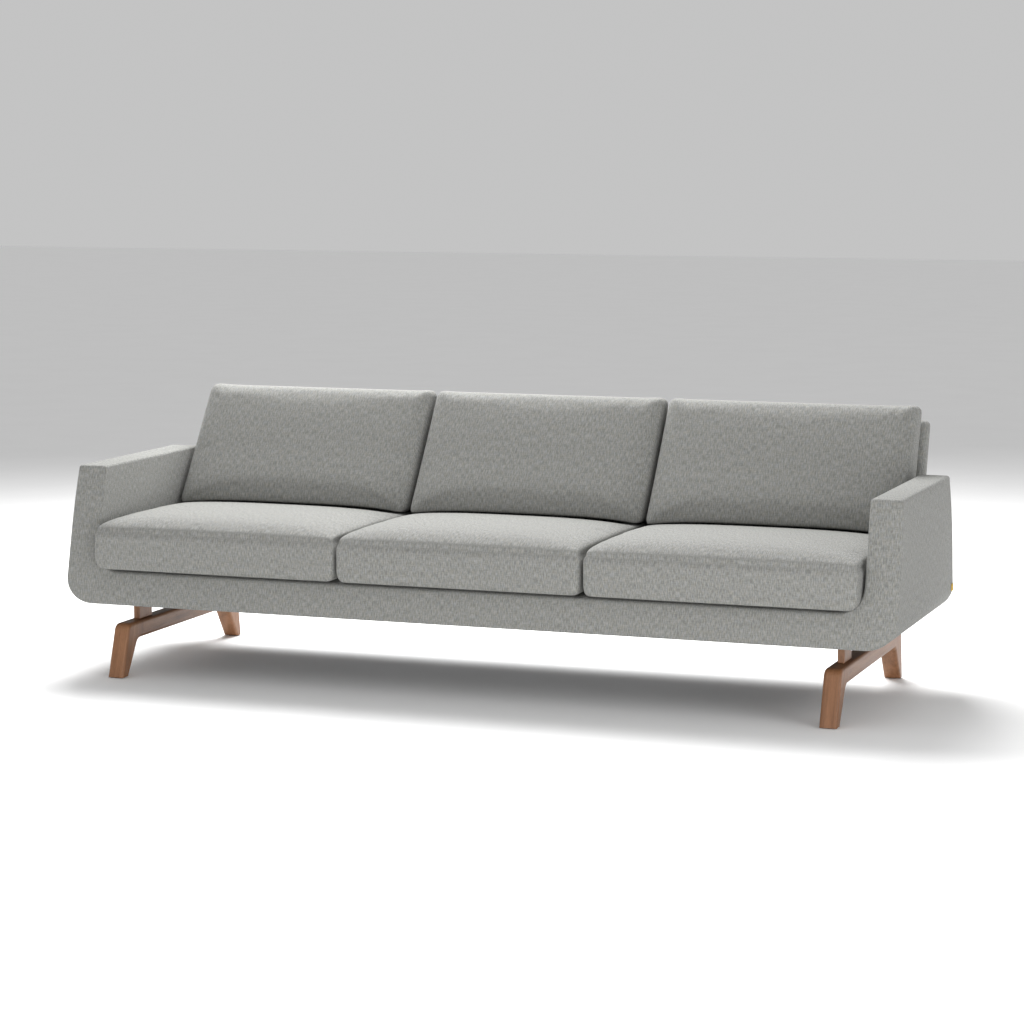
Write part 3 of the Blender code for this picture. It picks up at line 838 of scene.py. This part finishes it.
# %% Dust cloth and tab
DUST_HALF, DUST_FRONT, DUST_REAR = 1.164, 0.114, 0.8015   # half its length, and its two depths
DUST_SAG, DUST_THICK = 0.0016, 0.0004
DUST_GAP = 0.0006         # below the body's underside


def dust_cloth():
    half, front, rear = DUST_HALF, DUST_FRONT, DUST_REAR
    top = UNDERSIDE - DUST_GAP
    bm = bmesh.new()
    bmesh.ops.create_grid(bm, x_segments=60, y_segments=18, size=0.5)
    bmesh.ops.scale(bm, vec=(2 * half, rear - front, 1), verts=bm.verts)
    bmesh.ops.translate(bm, vec=(0, at((front + rear) / 2), top), verts=bm.verts)
    for vert in bm.verts:
        u = vert.co.x / half
        v = (vert.co.y - at((front + rear) / 2)) / ((rear - front) / 2)
        bays = math.cos(u * 3 * math.pi / 2) ** 2
        vert.co.z -= DUST_SAG * (0.4 + 0.6 * bays) * (1 - u ** 4) * (1 - v ** 4)
    piece = to_object("dust_cloth_sheet", bm)
    if piece.data.polygons[0].normal.z > 0:
        piece.data.flip_normals()
    wall = piece.modifiers.new("Thickness", "SOLIDIFY")
    wall.thickness = DUST_THICK
    wall.offset = -1
    return applied(piece), (2 * half, rear - front)


def nonwoven():
    felt = Finish("dust_cloth_felt", Roughness=0.95, Sheen_Weight=0.15)
    felt.shader.inputs["Specular IOR Level"].default_value = 0.2
    place = felt.place((1, 1, 1))
    fibres = felt.noise(felt.place((1, 3, 1)), 700.0, 5.0, 0.7, 1.2)
    dots = felt.node("ShaderNodeTexVoronoi", {"Vector": place}, {"Scale": 420.0, "Randomness": 0.35})
    color = felt.ramp(fibres, [(0.3, (0.010, 0.010, 0.011)), (0.7, (0.045, 0.045, 0.047))])
    felt.wire(color, "Base Color")
    felt.bump(felt.math("ADD", fibres, dots.outputs["Distance"]), 0.4, 0.0004)
    return felt.material


DUST_CLOTH, DUST_FLAT = dust_cloth()
settle(DUST_CLOTH, nonwoven(), "body", ("dust_cover",))

TAB_BENDS = (0.2, 0.4, 0.6, 0.8)
TAB_GAP, TAB_BOW, TAB_THICK, TAB_SWELL, TAB_ROUND = 0.0002, 0.0012, 0.0016, 0.0004, 0.0006


def tab_loop():
    low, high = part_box("label_tab")
    bm = bmesh.new()
    cube_between(bm, (0, low.y, low.z), (1, high.y, high.z))
    for share in TAB_BENDS:
        cut_at(bm, 1, low.y + share * (high.y - low.y))
    for vert in bm.verts:
        along = (vert.co.y - low.y) / (high.y - low.y)
        bow = TAB_BOW * math.sin(math.pi * along)
        thick = TAB_THICK + TAB_SWELL * math.sin(math.pi * along)
        vert.co.x = low.x + TAB_GAP + bow + vert.co.x * thick
    round_edges(bm, sharp_edges(bm), TAB_ROUND, segments=3)
    return to_object("tab_loop", bm)


MUSTARD, DARK_MUSTARD = (0.84, 0.56, 0.10), (0.48, 0.27, 0.03)
TAB_CLOTH = woven("tab_ribbon", MUSTARD, DARK_MUSTARD, streak=0.7, thread=0.0009)
settle(tab_loop(), TAB_CLOTH, "body", ("label_tab",))

# %% [markdown]
# ## Walnut for the trestles
#
# The legs, stretchers and posts are solid walnut with a rubbed satin lacquer. Wood is long
# fibres, so every pattern is stretched along the piece: broad bands where the growth rings
# come to the surface, finer streaks between them, and short dark pores. Each member has its
# grain along its own length, so the recipe takes a turn that lays the Z axis along the
# grain. The lacquer is a coat on the shader, set on its sockets.

# %% Walnut finish
def lumber(name, turn, dark, middle, light, pore, gloss, coat):
    wood = Finish(name, Coat_Weight=coat, Coat_Roughness=0.12)
    wood.shader.inputs["Specular IOR Level"].default_value = 0.35
    bands = wood.noise(wood.place((26, 34, 2.4), turn=turn), 1.0, 4.0, 0.55, 1.4)
    streaks = wood.noise(wood.place((210, 260, 7), turn=turn), 1.0, 5.0, 0.65, 0.4)
    pores = wood.noise(wood.place((1500, 1700, 60), turn=turn), 1.0, 2.0, 0.5)
    tone = wood.weighed((bands, 0.62), (streaks, 0.38))
    color = wood.ramp(tone, [(0.32, dark), (0.47, middle), (0.66, light)])
    opened = wood.ramp(pores, [(0.34, (pore, pore, pore)), (0.46, (1, 1, 1))])
    wood.wire(wood.mix(1.0, color, opened, "MULTIPLY"), "Base Color")
    rough = wood.ramp(streaks, [(0.3, (gloss - 0.06,) * 3), (0.7, (gloss + 0.08,) * 3)])
    wood.wire(rough, "Roughness")
    wood.bump(wood.math("ADD", pores, wood.math("MULTIPLY", streaks, 0.5)), 0.18, 0.0004)
    return wood.material


UPRIGHT = (0, 0, 0)
LENGTHWISE = (math.radians(90), 0, 0)
ACROSS = (0, math.radians(90), 0)
FRONT_LEG_SLOPE = 0.3278
DOWN_THE_LEG = (math.atan(FRONT_LEG_SLOPE), 0, 0)
WALNUT = ((0.125, 0.052, 0.021), (0.205, 0.093, 0.042), (0.280, 0.136, 0.066))
SATIN = {"pore": 0.70, "gloss": 0.46, "coat": 0.07}
walnut_upright = lumber("walnut_upright", UPRIGHT, *WALNUT, **SATIN)
walnut_lengthwise = lumber("walnut_lengthwise", LENGTHWISE, *WALNUT, **SATIN)
walnut_front_leg = lumber("walnut_front_leg", DOWN_THE_LEG, *WALNUT, **SATIN)
for side in ("left", "right"):
    members = {
        f"front_leg_{side}": walnut_front_leg, f"stretcher_{side}": walnut_lengthwise,
        f"rear_leg_{side}": walnut_upright, f"front_post_{side}": walnut_upright,
        f"rear_post_{side}": walnut_upright,
    }
    for name, finish in members.items():
        nodes[name].data.materials[0] = finish
    print("walnut on", ", ".join(members))

# %% [markdown]
# ## Bare wood, steel, nylon and webbing
#
# The frame inside the body is sawn hardwood that nobody sees, so it keeps saw marks and has no
# lacquer. The bolts are zinc-plated steel with fine turning marks, the glides under the feet
# are dark nylon with a moulded grain, and the seat's springs are black elastic webbing with
# raised ribs along each strap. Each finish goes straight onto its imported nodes.

# %% Hidden finishes
BARE = ((0.42, 0.27, 0.15), (0.60, 0.42, 0.26), (0.74, 0.57, 0.39))
SAWN = {"pore": 0.80, "gloss": 0.72, "coat": 0.0}
bare_upright = lumber("frame_wood_upright", UPRIGHT, *BARE, **SAWN)
bare_lengthwise = lumber("frame_wood_lengthwise", LENGTHWISE, *BARE, **SAWN)
bare_across = lumber("frame_wood_across", ACROSS, *BARE, **SAWN)


def zinc_steel():
    steel = Finish("zinc_plated_steel", Metallic=1.0)
    turned = steel.noise(steel.place((1, 1, 14)), 260.0, 3.0, 0.6)
    spots = steel.noise(steel.place((1, 1, 1)), 90.0, 4.0, 0.6)
    color = steel.ramp(spots, [(0.3, (0.46, 0.46, 0.48)), (0.7, (0.66,) * 3)])
    steel.wire(color, "Base Color")
    steel.wire(steel.ramp(turned, [(0.3, (0.26,) * 3), (0.7, (0.44,) * 3)]), "Roughness")
    steel.bump(turned, 0.25, 0.0002)
    return steel.material


def moulded_nylon():
    nylon = Finish("dark_nylon")
    grain = nylon.noise(nylon.place((1, 1, 1)), 1400.0, 3.0, 0.6)
    scuffs = nylon.noise(nylon.place((1, 1, 1)), 160.0, 4.0, 0.7)
    color = nylon.ramp(scuffs, [(0.35, (0.022, 0.016, 0.013)), (0.75, (0.060, 0.048, 0.040))])
    nylon.wire(color, "Base Color")
    nylon.wire(nylon.ramp(scuffs, [(0.35, (0.42,) * 3), (0.75, (0.62,) * 3)]), "Roughness")
    nylon.bump(grain, 0.3, 0.0002)
    return nylon.material


def ribbed_webbing():
    strap = Finish("elastic_webbing", Roughness=0.82, Sheen_Weight=0.1)
    place = strap.place((1, 1, 1))
    ribs = strap.node("ShaderNodeTexWave", {"Vector": place}, {"Scale": 90.0}, bands_direction="X")
    picks = strap.node("ShaderNodeTexWave", {"Vector": place}, {"Scale": 160.0}, bands_direction="Y")
    weave = strap.math("MULTIPLY", ribs.outputs["Fac"], picks.outputs["Fac"])
    fluff = strap.noise(place, 500.0, 3.0, 0.6)
    tone = strap.weighed((weave, 0.7), (fluff, 0.3))
    color = strap.ramp(tone, [(0.1, (0.012,) * 3), (0.8, (0.085, 0.085, 0.080))])
    strap.wire(color, "Base Color")
    strap.bump(weave, 0.5, 0.0006)
    return strap.material


STEEL, NYLON, WEBBING = zinc_steel(), moulded_nylon(), ribbed_webbing()
for name, node in nodes.items():
    if "_bolt_" in name:
        node.data.materials[0] = STEEL
    elif "_glide_" in name:
        node.data.materials[0] = NYLON
    elif name == "seat_webbing":
        node.data.materials[0] = WEBBING
    elif name in ("front_rail", "rear_rail", "back_top_rail"):
        node.data.materials[0] = bare_across
    elif name.startswith(("side_rail", "cross_rail", "corner_block")):
        node.data.materials[0] = bare_lengthwise
    elif name.startswith(("back_post", "arm_board")):
        node.data.materials[0] = bare_upright
print("finishes:", len(bpy.data.materials))

# %% [markdown]
# ## Stage, light and camera
#
# A plain pale floor and a pale surround stand in for a photographer's cove. The main light is
# a large soft box above and behind the sofa, so the seats and the arms' tops are bright and
# the faces that lean back stay darker. A long low one in front lifts the rail, and a small one
# fills in from the right. The camera stands a long way off with a long lens, a little above
# the arms.

# %% Stage, light and camera
FLOOR_HALF = 30.0
SURROUND_STRENGTH = 0.55
# Each light's name, size, power, place and the point it looks at.
LIGHTS = (
    ("overhead_light", (3.2, 2.0), 350, (-1.0, 2.1, 3.2), (0, 0, 0.3)),
    ("low_light", (6.0, 0.8), 92, (1.0, -3.5, 0.2), (0, 0, 0.35)),
    ("side_light", (2.0, 2.0), 32, (4.5, -2.0, 1.6), (0, 0, 0.3)),
)
CAMERA_PLACE = (2.9445, at(-7.5440), 1.5987)
CAMERA_DOWN, CAMERA_ROUND = math.radians(7.3665), math.radians(20.1127)
CAMERA_LENS, CAMERA_SENSOR = 101.75, 36   # in millimetres


def studio():
    bm = bmesh.new()
    bmesh.ops.create_grid(bm, x_segments=1, y_segments=1, size=FLOOR_HALF)
    floor = to_object("studio_floor", bm)
    paint = Finish("studio_floor_paint", Roughness=0.9)
    speck = paint.noise(paint.place((1, 1, 1)), 3.0)
    paint.wire(paint.ramp(speck, [(0.3, (0.93,) * 3), (0.7, (0.95,) * 3)]), "Base Color")
    floor.data.materials.append(paint.material)
    world = bpy.data.worlds.new("studio_air")
    bpy.context.scene.world = world
    world.use_nodes = True
    surround = world.node_tree.nodes["Background"].inputs
    surround["Color"].default_value = (1, 1, 1, 1)
    surround["Strength"].default_value = SURROUND_STRENGTH


def soft_box(name, size, power, place, look_at):
    lamp = bpy.data.lights.new(name, "AREA")
    lamp.shape = "RECTANGLE"
    lamp.size, lamp.size_y = size
    lamp.energy = power
    holder = bpy.data.objects.new(name, lamp)
    bpy.context.scene.collection.objects.link(holder)
    holder.location = place
    aim = Vector(look_at) - Vector(place)
    holder.rotation_euler = aim.to_track_quat("-Z", "Y").to_euler()


studio()
bpy.context.scene.view_settings.view_transform = "Standard"
for light in LIGHTS:
    soft_box(*light)
camera = bpy.data.objects.new("camera", bpy.data.cameras.new("camera"))
bpy.context.scene.collection.objects.link(camera)
camera.location = CAMERA_PLACE
camera.rotation_euler = (math.radians(90) - CAMERA_DOWN, 0, CAMERA_ROUND)
camera.data.lens = CAMERA_LENS
camera.data.sensor_width = CAMERA_SENSOR
camera.data.clip_end = 100
bpy.context.scene.camera = camera
print("lights:", len(LIGHTS), "camera:", [round(c, 2) for c in camera.location])
